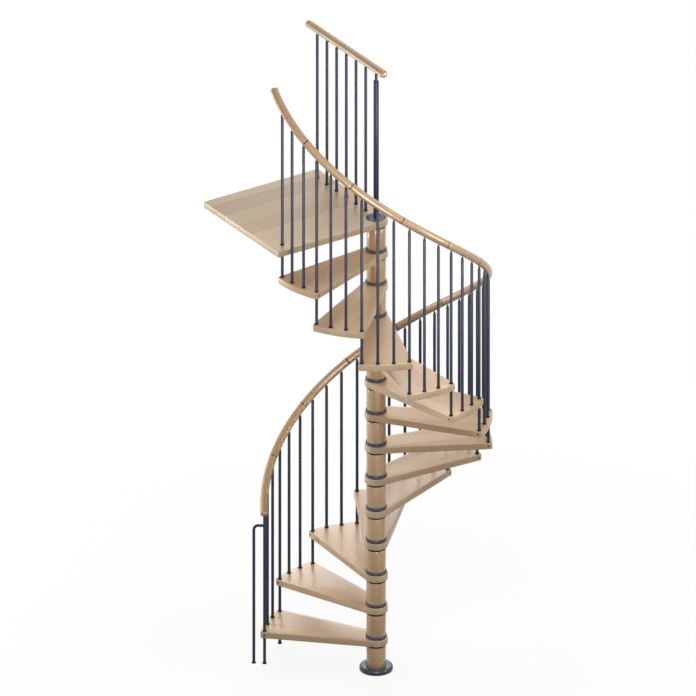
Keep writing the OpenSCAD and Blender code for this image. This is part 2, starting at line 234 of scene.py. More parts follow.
class Bench:
    """Hand tools that shape one piece at a time. Several work on the piece that is in edit mode."""

    @staticmethod
    def take(piece: Piece) -> None:
        """Deselect everything, then select one piece and make it active.

        Args:
            piece: The piece.
        """
        if bpy.context.object and bpy.context.object.mode != "OBJECT":
            bpy.ops.object.mode_set(mode="OBJECT")
        bpy.ops.object.select_all(action="DESELECT")
        piece.select_set(True)
        bpy.context.view_layer.objects.active = piece

    @staticmethod
    def begin(name: str) -> Piece:
        """Name the primitive just added, and move its place into its mesh.

        Args:
            name: Its name.

        Returns:
            The primitive.
        """
        piece = bpy.context.object
        piece.name = name
        piece.data.name = name
        Bench.take(piece)
        bpy.ops.object.transform_apply(location=True, rotation=True, scale=True)
        return piece

    @staticmethod
    def billet(name: str, radius: float, low: float, high: float, sides: int) -> Piece:
        """Begin a round piece on the column's axis.

        Args:
            name: Its name.
            radius: Its radius.
            low: Height of its foot.
            high: Height of its top.
            sides: Sides of its outline.

        Returns:
            The piece.
        """
        bpy.ops.mesh.primitive_cylinder_add(
            vertices=sides, radius=radius, depth=high - low, location=(0, 0, (low + high) / 2))
        return Bench.begin(name)

    @staticmethod
    @contextmanager
    def editing(piece: Piece) -> Iterator[None]:
        """Hold a piece in edit mode with nothing picked.

        Args:
            piece: The piece.

        Yields:
            Nothing, while the piece is in edit mode.
        """
        Bench.take(piece)
        bpy.ops.object.mode_set(mode="EDIT")
        bpy.ops.mesh.select_all(action="DESELECT")
        yield
        bpy.ops.object.mode_set(mode="OBJECT")

    @staticmethod
    def pick(kind: Kind, test: Callable[..., bool]) -> None:
        """Pick the parts of the piece in edit mode that pass a test.

        Args:
            kind: Vertices, edges or faces.
            test: Says by its place or normal whether a part is picked.
        """
        piece = bpy.context.edit_object
        bpy.ops.mesh.select_mode(type=kind.value)
        bpy.ops.mesh.select_all(action="DESELECT")
        shape = bmesh.from_edit_mesh(piece.data)
        shape.normal_update()
        parts = {Kind.VERT: shape.verts, Kind.EDGE: shape.edges, Kind.FACE: shape.faces}[kind]
        chosen = [part for part in parts if test(part)]
        if not chosen:
            raise ValueError(f"nothing to pick on {piece.name}")
        for part in chosen:
            part.select_set(True)
        shape.select_flush_mode()
        bmesh.update_edit_mesh(piece.data)

    @staticmethod
    def pick_all(kind: Kind) -> None:
        """Pick everything on the piece in edit mode."""
        bpy.ops.mesh.select_mode(type=kind.value)
        bpy.ops.mesh.select_all(action="SELECT")

    @staticmethod
    def pick_tops() -> None:
        """Pick the faces that look up."""
        Bench.pick(Kind.FACE, lambda face: face.normal.z > FACING)

    @staticmethod
    def pick_rim(radius: float, height: float) -> None:
        """Pick the edges of a round piece that are on its outer radius and at a height or over it."""
        Bench.pick(Kind.EDGE, lambda edge: all(
            math.hypot(*v.co.xy) > radius - NEAR and v.co.z > height - NEAR for v in edge.verts))

    @staticmethod
    def draw_out(way: Point) -> None:
        """Extrude what is picked."""
        bpy.ops.mesh.extrude_region_move(TRANSFORM_OT_translate={"value": way})

    @staticmethod
    def weld(reach: float = 1e-6) -> None:
        """Merge doubled points of the piece in edit mode."""
        bpy.ops.mesh.select_all(action="SELECT")
        bpy.ops.mesh.remove_doubles(threshold=reach)

    @staticmethod
    def close_up() -> None:
        """Merge doubled points of the piece in edit mode and turn its faces outwards."""
        Bench.weld()
        bpy.ops.mesh.normals_make_consistent(inside=False)
        bpy.ops.mesh.select_all(action="DESELECT")

    @staticmethod
    def bridge() -> None:
        """Join the two open rims of the piece in edit mode."""
        Bench.pick(Kind.EDGE, lambda edge: edge.is_boundary)
        bpy.ops.mesh.bridge_edge_loops()

    @staticmethod
    def bore(radius: float, outer: float) -> None:
        """Bore the piece in edit mode along Z by joining its two insetted ends.

        Args:
            radius: Radius of the bore.
            outer: Radius of the flat ends.
        """
        Bench.pick(Kind.FACE, lambda face: abs(face.normal.z) > FACING)
        bpy.ops.mesh.inset(thickness=outer - radius, use_individual=True)
        bpy.ops.mesh.delete(type="FACE")
        Bench.bridge()

    @staticmethod
    def ease(piece: Piece, width: float, segments: int = 3, angle: float = 40.0) -> None:
        """Round every sharp edge of a piece.

        Args:
            piece: The piece.
            width: Width of the rounding.
            segments: Steps across it.
            angle: Edges that turn by more than this many degrees are rounded.
        """
        Bench.take(piece)
        bevel = piece.modifiers.new("ease", "BEVEL")
        bevel.width = width
        bevel.segments = segments
        bevel.limit_method = "ANGLE"
        bevel.angle_limit = math.radians(angle)
        bevel.use_clamp_overlap = False
        bpy.ops.object.modifier_apply(modifier=bevel.name)

    @staticmethod
    def drill(piece: Piece, start: Vector, end: Vector, radius: float, sides: int = 32) -> None:
        """Cut a round hole with a drill that goes from one point to another.

        Args:
            piece: The piece to cut.
            start: Centre of the drill's first end.
            end: Centre of its other end.
            radius: Radius of the hole.
            sides: Sides of the round hole.
        """
        way = end - start
        bpy.ops.mesh.primitive_cylinder_add(
            vertices=sides, radius=radius, depth=way.length, location=(start + end) / 2,
            rotation=way.to_track_quat("Z", "Y").to_euler())
        bit = Bench.begin("drill_bit")
        Bench.take(piece)
        cut = piece.modifiers.new("hole", "BOOLEAN")
        cut.operation = "DIFFERENCE"
        cut.solver = "EXACT"
        cut.object = bit
        bpy.ops.object.modifier_apply(modifier=cut.name)
        bpy.data.objects.remove(bit, do_unlink=True)

    @staticmethod
    def drill_down(board: Piece, spot: Vector, depth: float, radius: float, sides: int = 32) -> None:
        """Drill straight down through a board of a given depth, from a spot on its top."""
        Bench.drill(board, spot + UP * OVERRUN, spot - UP * (depth + OVERRUN), radius, sides)

    @staticmethod
    def copy(piece: Piece, name: str, place: Matrix) -> Piece:
        """Copy a piece with its own mesh, and put the copy's place in that mesh.

        Args:
            piece: The piece.
            name: Name of the copy.
            place: Where the copy goes.

        Returns:
            The copy.
        """
        twin = piece.copy()
        twin.data = piece.data.copy()
        twin.name = name
        twin.data.name = name
        twin.data.transform(place)
        bpy.context.scene.collection.objects.link(twin)
        return twin

    @staticmethod
    def gather(pieces: Sequence[Piece], name: str) -> Piece:
        """Join like pieces into one object.

        Args:
            pieces: The pieces.
            name: Name of the whole.

        Returns:
            The whole.
        """
        Bench.take(pieces[0])
        for piece in pieces[1:]:
            piece.select_set(True)
        bpy.ops.object.join()
        whole = bpy.context.object
        whole.name = name
        whole.data.name = name
        return whole

    @staticmethod
    def repeat(pattern: Piece, name: str, places: Sequence[Matrix]) -> Piece:
        """Copy a pattern to every place, join the copies and clear the pattern away.

        Args:
            pattern: The pattern.
            name: Name of the whole.
            places: Where its copies go.

        Returns:
            All copies as one piece.
        """
        whole = Bench.gather([Bench.copy(pattern, name, place) for place in places], name)
        bpy.data.objects.remove(pattern, do_unlink=True)
        return whole

    @staticmethod
    def smooth(piece: Piece, angle: float = 35.0) -> None:
        """Shade a piece smooth except across edges that turn by more than this many degrees."""
        Bench.take(piece)
        bpy.ops.object.shade_smooth_by_angle(angle=math.radians(angle))


# Grain


@dataclass(frozen=True)
class StraightGrain:
    """Grain of a straight board: maps a point of the piece to along, across and through the board."""

    to_board: Matrix

    def chart(self, point: Vector) -> Vector:
        """The point in the board's own directions."""
        return self.to_board @ point

    def fibre(self, point: Vector) -> Vector:
        """Direction of the fibres, which is the same at every point."""
        return Vector(self.to_board.row[0][:3]).normalized()


@dataclass(frozen=True)
class HelixGrain:
    """Grain of the curved handrail, which follows the helix."""

    plan: StairPlan
    shift: float = 0.0

    def chart(self, point: Vector) -> Vector:
        """Unroll a point of the handrail.

        Args:
            point: The point.

        Returns:
            Its place along the rail, out from the rail's centre line and up from it.
        """
        plan = self.plan
        turned = (plan.baluster_angle(0) - math.atan2(point.y, point.x)) % (2 * math.pi)
        guess = (point.z - plan.rail_z(0)) / plan.gap_rise
        lap = round((guess * plan.gap_angle - turned) / (2 * math.pi))
        run = (turned + lap * 2 * math.pi) * plan.baluster_circle
        rise = point.z - plan.rail_z(0)
        along = run * math.cos(plan.slope) + rise * math.sin(plan.slope)
        up = rise * math.cos(plan.slope) - run * math.sin(plan.slope)
        out = math.hypot(point.x, point.y) - plan.baluster_circle
        return Vector((along + self.shift, out, up))

    def fibre(self, point: Vector) -> Vector:
        """Direction of the fibres at a point.

        Args:
            point: The point.

        Returns:
            The direction up the helix there.
        """
        angle = math.atan2(point.y, point.x)
        level = Vector((math.sin(angle), -math.cos(angle), 0.0)) * math.cos(self.plan.slope)
        return level + UP * math.sin(self.plan.slope)


def lay_grain(piece: Piece, grain: StraightGrain | HelixGrain) -> None:
    """Write the timber's own coordinates and fibre direction on a piece's points.

    Args:
        piece: A timber piece.
        grain: How its timber lies.
    """
    mesh = piece.data
    chart = mesh.attributes.new("timber", "FLOAT_VECTOR", "POINT")
    fibre = mesh.attributes.new("fibre", "FLOAT_VECTOR", "POINT")
    for vertex in mesh.vertices:
        chart.data[vertex.index].vector = grain.chart(vertex.co)
        fibre.data[vertex.index].vector = grain.fibre(vertex.co)


# Finishes


class Nodes:
    """A cleared node tree, on which a finish or the studio lays out its shader."""

    def __init__(self, tree: bpy.types.NodeTree) -> None:
        """Clear the tree."""
        self.tree = tree
        self.tree.nodes.clear()

    def add(self, kind: str, inputs: dict[str | int, object], **settings: str) -> bpy.types.Node:
        """Add a node, and link or set its inputs.

        Args:
            kind: Blender's name of the node, without the word ShaderNode.
            inputs: A socket or a constant for each input, by the input's name or place.
            settings: The node's own settings, which come before its inputs.

        Returns:
            The node.
        """
        node = self.tree.nodes.new(f"ShaderNode{kind}")
        for name, value in settings.items():
            setattr(node, name, value)
        for key, value in inputs.items():
            if isinstance(value, Socket):
                self.tree.links.new(value, node.inputs[key])
            else:
                node.inputs[key].default_value = value
        return node

    def attribute(self, name: str, output: str = "Vector") -> Socket:
        """Read an attribute of the mesh."""
        return self.add("Attribute", {}, attribute_name=name).outputs[output]

    def place(self, output: str = "Object") -> Socket:
        """Read the coordinates or the normal of a point."""
        return self.add("TexCoord", {}).outputs[output]

    def stretch(self, vector: Socket, scale: Point, shift: Socket | Point = (0.0, 0.0, 0.0)) -> Socket:
        """Scale a vector and then shift it."""
        node = self.add("VectorMath", {0: vector, 1: scale, 2: shift}, operation="MULTIPLY_ADD")
        return node.outputs["Vector"]

    def length(self, vector: Socket) -> Socket:
        """Length of a vector."""
        return self.add("VectorMath", {0: vector}, operation="LENGTH").outputs["Value"]

    def dot(self, first: Socket, second: Socket) -> Socket:
        """Dot product of two vectors."""
        return self.add("VectorMath", {0: first, 1: second}, operation="DOT_PRODUCT").outputs["Value"]

    def maths(self, operation: str, *values: Socket | float) -> Socket:
        """Work out one number from others."""
        return self.add("Math", dict(enumerate(values)), operation=operation).outputs["Value"]

    def split(self, vector: Socket) -> list[Socket]:
        """The three parts of a vector."""
        return list(self.add("SeparateXYZ", {0: vector}).outputs)

    def merge(self, *values: Socket | float) -> Socket:
        """A vector from three numbers."""
        return self.add("CombineXYZ", dict(enumerate(values))).outputs["Vector"]

    def noise(self, vector: Socket, detail: float, rough: float, scale: float = 1.0) -> Socket:
        """Soft noise from 0 to 1."""
        inputs = {"Vector": vector, "Scale": scale, "Detail": detail, "Roughness": rough}
        return self.add("TexNoise", inputs).outputs["Fac"]

    def chance(self, vector: Socket) -> Socket:
        """One even random number for each whole vector."""
        return self.add("TexWhiteNoise", {"Vector": vector}, noise_dimensions="3D").outputs["Value"]

    def span(self, value: Socket, low: float, high: float,
             to_low: float = 0.0, to_high: float = 1.0) -> Socket:
        """Map one span of numbers to another, held at its ends."""
        inputs = {"Value": value, "From Min": low, "From Max": high, "To Min": to_low, "To Max": to_high}
        return self.add("MapRange", inputs).outputs["Result"]

    def blend(self, factor: Socket, first: Socket | Colour, second: Socket | Colour) -> Socket:
        """Mix two colours."""
        node = self.add("Mix", {"Factor": factor, "A": first, "B": second}, data_type="RGBA")
        return node.outputs["Result"]

    def join(self, factor: Socket, first: bpy.types.Node, second: bpy.types.Node) -> Socket:
        """Mix two shaders."""
        return self.add("MixShader", {0: factor, 1: first.outputs[0], 2: second.outputs[0]}).outputs[0]


@dataclass(frozen=True)
class Coating:
    """What every finish has: a name, the record's slot and a material that is laid out once."""

    name: str
    slot: str

    def material(self) -> bpy.types.Material:
        """Give the material, and lay it out when it is first asked for.

        Returns:
            The material.
        """
        if self.name not in bpy.data.materials:
            material = bpy.data.materials.new(self.name)
            material.use_nodes = True
            self._lay_out(Nodes(material.node_tree))
        return bpy.data.materials[self.name]

    def _lay_out(self, nodes: Nodes) -> None:
        """Lay out the shader, as each kind of finish does for itself."""
        raise NotImplementedError(self.name)


@dataclass(frozen=True)
class Timber(Coating):
    """Lacquered beech: wide boards glued side by side, each with its own tint, streaks and flecks."""

    # Waves a metre along, across and through a board.
    FIGURE: ClassVar[Point] = (1.3, 26.0, 26.0)
    STREAKS: ClassVar[Point] = (5.0, 190.0, 190.0)
    FLECKS: ClassVar[Point] = (130.0, 1100.0, 1100.0)
    RINGS: ClassVar[Point] = (2.0, 380.0, 380.0)
    # How far each board's tint shifts its figure.
    SHIFT: ClassVar[Point] = (3.0, 5.0, 7.0)
    # How strong the streaks are beside the figure, and how far flecks and end grain change the colour.
    STREAK_SHARE: ClassVar[float] = 0.7
    FLECK_SHARE: ClassVar[float] = 0.35
    END_SHARE: ClassVar[float] = 0.5
    # Width of the seam between boards, the end grain at a joint, and the tint of the timber's own gloss.
    SEAM_W: ClassVar[float] = 0.0009
    SOAKED: ClassVar[Colour] = (0.045, 0.022, 0.01, 1.0)
    WARM: ClassVar[Colour] = (1.0, 0.9, 0.74, 1.0)

    pale: Colour
    deep: Colour
    end: Colour
    board_w: float = 0.1
    board_l: float = 5.0
    tint: float = 0.5
    streaks: float = 0.5
    seam: float = 0.1
    gloss: float = 0.42
    coat: float = 0.2
    coat_rough: float = 0.18
    jointed: bool = False

    def _lay_out(self, nodes: Nodes) -> None:
        """Lay out the boards, their figure and the lacquer; jointed timber is soaked dark at its joints.

        Args:
            nodes: The material's nodes.
        """
        timber = nodes.attribute("timber")
        along, across, _ = nodes.split(timber)
        board_at = nodes.maths("DIVIDE", across, self.board_w)
        board = nodes.maths("FLOOR", board_at)
        stagger = nodes.chance(nodes.merge(board, 3.0, 7.0))
        length_at = nodes.maths("ADD", nodes.maths("DIVIDE", along, self.board_l), stagger)
        tint = nodes.chance(nodes.merge(board, nodes.maths("FLOOR", length_at), 0.0))
        shift = nodes.stretch(nodes.merge(tint, tint, tint), self.SHIFT)
        grain = nodes.stretch(timber, (1.0, 1.0, 1.0), shift)
        figure = nodes.noise(nodes.stretch(grain, self.FIGURE), detail=3.0, rough=0.55)
        streak = nodes.noise(nodes.stretch(grain, self.STREAKS), detail=3.0, rough=0.6)
        fleck = nodes.noise(nodes.stretch(grain, self.FLECKS), detail=1.0, rough=0.4)
        paleness = 0.5
        layers = ((tint, self.tint), (figure, self.streaks), (streak, self.streaks * self.STREAK_SHARE))
        for part, share in layers:
            paleness = nodes.maths("MULTIPLY_ADD", nodes.maths("SUBTRACT", part, 0.5), share, paleness)
        colour = nodes.blend(nodes.span(paleness, 0.0, 1.0), self.deep, self.pale)
        colour = nodes.blend(nodes.span(fleck, 0.62, 0.72, to_high=self.FLECK_SHARE), colour, self.deep)
        edge = nodes.maths("PINGPONG", board_at, 0.5)
        seam = nodes.span(edge, 0.0, self.SEAM_W / self.board_w, self.seam, 0.0)
        colour = nodes.blend(seam, colour, self.deep)
        colour = self._end_grain(nodes, grain, colour)
        rough = nodes.span(figure, 0.3, 0.7, self.gloss - 0.04, self.gloss + 0.06)
        coat = self.coat
        if self.jointed:
            groove = nodes.attribute("groove", "Fac")
            colour = nodes.blend(groove, colour, self.SOAKED)
            rough = nodes.maths("MAXIMUM", rough, groove)
            coat = nodes.span(groove, 0.0, 1.0, self.coat, 0.0)
        lacquered = nodes.add("BsdfPrincipled", {
            "Base Color": colour, "Roughness": rough, "IOR": 1.45, "Specular Tint": self.WARM,
            "Coat Weight": coat, "Coat Roughness": self.coat_rough, "Coat IOR": 1.5})
        nodes.add("OutputMaterial", {"Surface": lacquered.outputs["BSDF"]})

    def _end_grain(self, nodes: Nodes, grain: Socket, colour: Socket) -> Socket:
        """Show rings where the surface cuts across the fibres.

        Args:
            nodes: The material's nodes.
            grain: A point's place in its board.
            colour: Colour of the long grain.

        Returns:
            The colour with the end grain in it.
        """
        rings = nodes.noise(nodes.stretch(grain, self.RINGS), detail=2.0, rough=0.5)
        end_colour = nodes.blend(nodes.span(rings, 0.2, 0.8), self.end, colour)
        cut = nodes.maths("ABSOLUTE", nodes.dot(nodes.place("Normal"), nodes.attribute("fibre")))
        return nodes.blend(nodes.span(cut, 0.55, 0.9, to_high=self.END_SHARE), colour, end_colour)


@dataclass(frozen=True)
class Paint(Coating):
    """Painted or powder-coated metal, or moulded plastic, with a fine skin and rubbed patches."""

    # Waves a metre of the rubbed patches and of the skin, the skin's depth, and how much the patches show.
    PATCHES: ClassVar[float] = 9.0
    SKIN: ClassVar[float] = 600.0
    SKIN_DEPTH: ClassVar[float] = 0.000005
    WORN_SHARE: ClassVar[float] = 0.5

    colour: Colour
    worn: Colour
    gloss: float = 0.4
    coat: float = 0.0
    shine: float = 0.16

    def _lay_out(self, nodes: Nodes) -> None:
        """Lay out the paint.

        Args:
            nodes: The material's nodes.
        """
        place = nodes.place()
        patches = nodes.noise(place, detail=3.0, rough=0.55, scale=self.PATCHES)
        skin = nodes.noise(place, detail=2.0, rough=0.5, scale=self.SKIN)
        worn = nodes.span(patches, 0.35, 0.7, to_high=self.WORN_SHARE)
        bump = nodes.add("Bump", {"Height": skin, "Distance": self.SKIN_DEPTH, "Strength": 0.3})
        painted = nodes.add("BsdfPrincipled", {
            "Base Color": nodes.blend(worn, self.colour, self.worn),
            "Roughness": nodes.span(patches, 0.3, 0.7, self.gloss - 0.05, self.gloss + 0.05),
            "Specular IOR Level": self.shine, "Coat Weight": self.coat, "Coat Roughness": 0.12,
            "Normal": bump.outputs["Normal"]})
        nodes.add("OutputMaterial", {"Surface": painted.outputs["BSDF"]})


class Finish:
    """The finishes of the staircase."""

    TREAD = Timber(
        "tread_beech_lacquered", "tread_beech", pale=rgb(232, 203, 169), deep=rgb(200, 165, 128),
        end=rgb(232, 204, 160), board_w=0.105, tint=0.7, streaks=0.35, seam=0.3)
    LANDING = Timber(
        "landing_beech_lacquered", "tread_beech", pale=rgb(220, 194, 162), deep=rgb(186, 156, 122),
        end=rgb(232, 206, 164), board_w=0.148, tint=0.9, streaks=0.45, seam=0.3)
    RAIL = Timber(
        "rail_beech_lacquered", "rail_beech", pale=rgb(218, 178, 130), deep=rgb(154, 118, 78),
        end=rgb(196, 160, 114), board_w=2.0, tint=0.25, streaks=0.9, seam=0.0, gloss=0.5, coat=0.7,
        coat_rough=0.22, jointed=True)
    COLUMN = Timber(
        "column_beech_lacquered", "column_beech", pale=rgb(218, 179, 131), deep=rgb(176, 134, 90),
        end=rgb(186, 152, 108), board_w=0.052, tint=0.9, streaks=0.8, seam=0.1, gloss=0.46, coat=1.0,
        coat_rough=0.14)
    STEEL = Paint(
        "baluster_slate_coat", "baluster_steel", colour=rgb(54, 61, 80), worn=rgb(62, 69, 88), gloss=0.36,
        shine=0.14)
    PRIMER = Paint("dark_primer", "dark_steel", colour=rgb(48, 50, 56), worn=rgb(58, 60, 64), gloss=0.6)
    RING = Paint(
        "ring_blue_grey_gloss", "ring_metal", colour=rgb(72, 82, 94), worn=rgb(82, 92, 104), gloss=0.36,
        coat=0.25, shine=0.1)
    BLACK = Paint("black_nylon", "black_fittings", colour=rgb(16, 16, 20), worn=rgb(24, 24, 28), gloss=0.42)


def dress(piece: Piece, finish: Coating, *nodes: str) -> Piece:
    """Give a finished piece its material and tie it to the frame.

    Args:
        piece: The piece, with its place in its mesh.
        finish: Its finish.
        nodes: The CAD nodes that it stands for, or none for a piece that the CAD leaves out.

    Returns:
        The same piece.
    """
    piece.data.materials.clear()
    piece.data.materials.append(finish.material())
    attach(piece, "root")
    if nodes:
        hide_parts(*nodes)
    log.info("%s: %d faces, %s", piece.name, len(piece.data.polygons), finish.name)
    return piece


# Column and foot


@dataclass
class Column:
    """Timber sleeves and dark rings round the steel pole, and the round cover at their foot."""

    plan: StairPlan
    sides: int = 96
    sleeve_r: float = 0.059
    sleeve_ease: float = 0.002
    sleeve_turn: float = math.radians(137.5)
    grain_run: float = 0.77
    grain_depth: float = 0.31
    upper_r: float = 0.0635
    upper_h: float = 0.021
    upper_round: float = 0.006
    lower_r: float = 0.059
    lower_h: float = 0.015
    lower_round: float = 0.002
    cover_sides: int = 128
    cover_r: float = 0.101
    cover_h: float = 0.030
    cover_round: float = 0.012
    cover_ease: float = 0.0006
    seat_depth: float = 0.008
    plate_r: float = 0.090
    plate_t: float = 0.008

    def build(self) -> list[Piece]:
        """Build and dress the whole column.

        Returns:
            Its pieces.
        """
        pieces = [self._sleeves(), self._upper_rings(), self._lower_rings(), self._cover()]
        for name in ("base_plate", "center_pole"):
            node = frame["nodes"][name]
            node.data.materials.clear()
            node.data.materials.append(Finish.PRIMER.material())
        return pieces

    def _ring(self, name: str, radius: float, height: float, rounding: float) -> Piece:
        """Turn a bored ring that stands on the floor, with rounded outer edges.

        Args:
            name: Name of the ring.
            radius: Its outer radius.
            height: Its height.
            rounding: Radius of its outer edges.

        Returns:
            The ring.
        """
        ring = Bench.billet(name, radius, 0.0, height, self.sides)
        with Bench.editing(ring):
            Bench.bore(self.plan.pole_hole_r, radius)
            Bench.pick(Kind.EDGE, lambda edge: all(math.hypot(*v.co.xy) > radius - NEAR for v in edge.verts)
                       and abs(edge.verts[0].co.z - edge.verts[1].co.z) < NEAR)
            bpy.ops.mesh.bevel(offset=rounding, segments=6, profile=0.5)
            Bench.close_up()
        Bench.smooth(ring)
        return ring

    def _sleeves(self) -> Piece:
        """Turn one sleeve for each storey of the column.

        Returns:
            All sleeves as one piece.
        """
        plan = self.plan
        sleeves = []
        for number in plan.boards:
            low = self.cover_h - self.seat_depth if number == 1 else plan.tread_z(number - 1) + self.upper_h
            high = plan.under_z(number) - self.lower_h
            sleeve = Bench.billet(f"sleeve_{number:02d}", self.sleeve_r, low, high, self.sides)
            with Bench.editing(sleeve):
                Bench.bore(plan.pole_hole_r, self.sleeve_r)
                Bench.close_up()
            Bench.ease(sleeve, self.sleeve_ease)
            Bench.smooth(sleeve)
            turn = Matrix.Rotation(self.sleeve_turn * number, 4, "Z")
            upright = Matrix(((0, 0, 1, self.grain_run * number), (1, 0, 0, Finish.COLUMN.board_w / 2),
                              (0, 1, 0, self.grain_depth * number), (0, 0, 0, 1)))
            lay_grain(sleeve, StraightGrain(upright @ turn))
            sleeves.append(sleeve)
        return dress(Bench.gather(sleeves, "turned_sleeves"), Finish.COLUMN, "column_sleeves")

    def _upper_rings(self) -> Piece:
        """Turn the bulging rings that stand on the treads.

        Returns:
            All rings as one piece.
        """
        ring = self._ring("upper_ring", self.upper_r, self.upper_h, self.upper_round)
        places = [lift(self.plan.tread_z(number)) for number in self.plan.treads]
        return dress(Bench.repeat(ring, "bulging_rings", places), Finish.RING, "upper_rings")

    def _lower_rings(self) -> Piece:
        """Turn the thin rings that carry the treads and the landing.

        Returns:
            All rings as one piece.
        """
        ring = self._ring("lower_ring", self.lower_r, self.lower_h, self.lower_round)
        places = [lift(self.plan.under_z(number) - self.lower_h) for number in self.plan.boards]
        return dress(Bench.repeat(ring, "thin_rings", places), Finish.BLACK, "lower_rings")

    def _cover(self) -> Piece:
        """Press the round cover: a shoulder outside, a seat above and a recess below.

        Returns:
            The cover.
        """
        gap = self.plan.gap
        cover = Bench.billet("round_cover", self.cover_r, 0.0, self.cover_h, self.cover_sides)
        with Bench.editing(cover):
            Bench.pick_tops()
            bpy.ops.mesh.inset(thickness=self.cover_r - self.sleeve_r - gap)
            Bench.draw_out((0, 0, -self.seat_depth))
            bpy.ops.mesh.inset(thickness=self.sleeve_r + gap - self.plan.pole_hole_r)
            bpy.ops.mesh.delete(type="FACE")
            Bench.pick(Kind.FACE, lambda face: face.normal.z < -FACING and face.calc_center_median().z < NEAR)
            bpy.ops.mesh.inset(thickness=self.cover_r - self.plate_r - gap)
            Bench.draw_out((0, 0, self.plate_t))
            bpy.ops.mesh.inset(thickness=self.plate_r + gap - self.plan.pole_hole_r)
            bpy.ops.mesh.delete(type="FACE")
            Bench.bridge()
            Bench.pick_rim(self.cover_r, self.cover_h)
            bpy.ops.mesh.bevel(offset=self.cover_round, segments=10, profile=0.5)
            Bench.close_up()
        Bench.ease(cover, self.cover_ease, segments=2, angle=60.0)
        Bench.smooth(cover)
        return dress(cover, Finish.RING, "base_cover")


# Treads and landing


@dataclass(frozen=True)
class GrubScrew:
    """A black screw with a hexagon socket, which is set into the edge of a board."""

    sides: int = 24
    hole_r: float = 0.006
    hole_depth: float = 0.0012
    clearance: float = 0.0002
    height: float = 0.001
    socket_depth: float = 0.0007
    rim_share: float = 0.55

    def model(self) -> Piece:
        """Make one screw at the origin that points up.

        Returns:
            The screw.
        """
        radius = self.hole_r - self.clearance
        screw = Bench.billet("grub_screw", radius, 0.0, self.height, self.sides)
        with Bench.editing(screw):
            Bench.pick_tops()
            bpy.ops.mesh.inset(thickness=radius * self.rim_share)
            Bench.draw_out((0, 0, -self.socket_depth))
            Bench.close_up()
        Bench.smooth(screw)
        return screw

    def drill(self, board: Piece, spot: Vector, outward: Vector) -> None:
        """Drill the screw's hole at a spot on a board's edge."""
        end = spot - outward * self.hole_depth
        Bench.drill(board, spot + outward * OVERRUN, end, self.hole_r, self.sides)

    def seat(self, spot: Vector, outward: Vector) -> Matrix:
        """Placement of the screw in its hole, with its socket outward."""
        turn = outward.to_track_quat("Z", "Y").to_matrix().to_4x4()
        return Matrix.Translation(spot - outward * self.hole_depth) @ turn


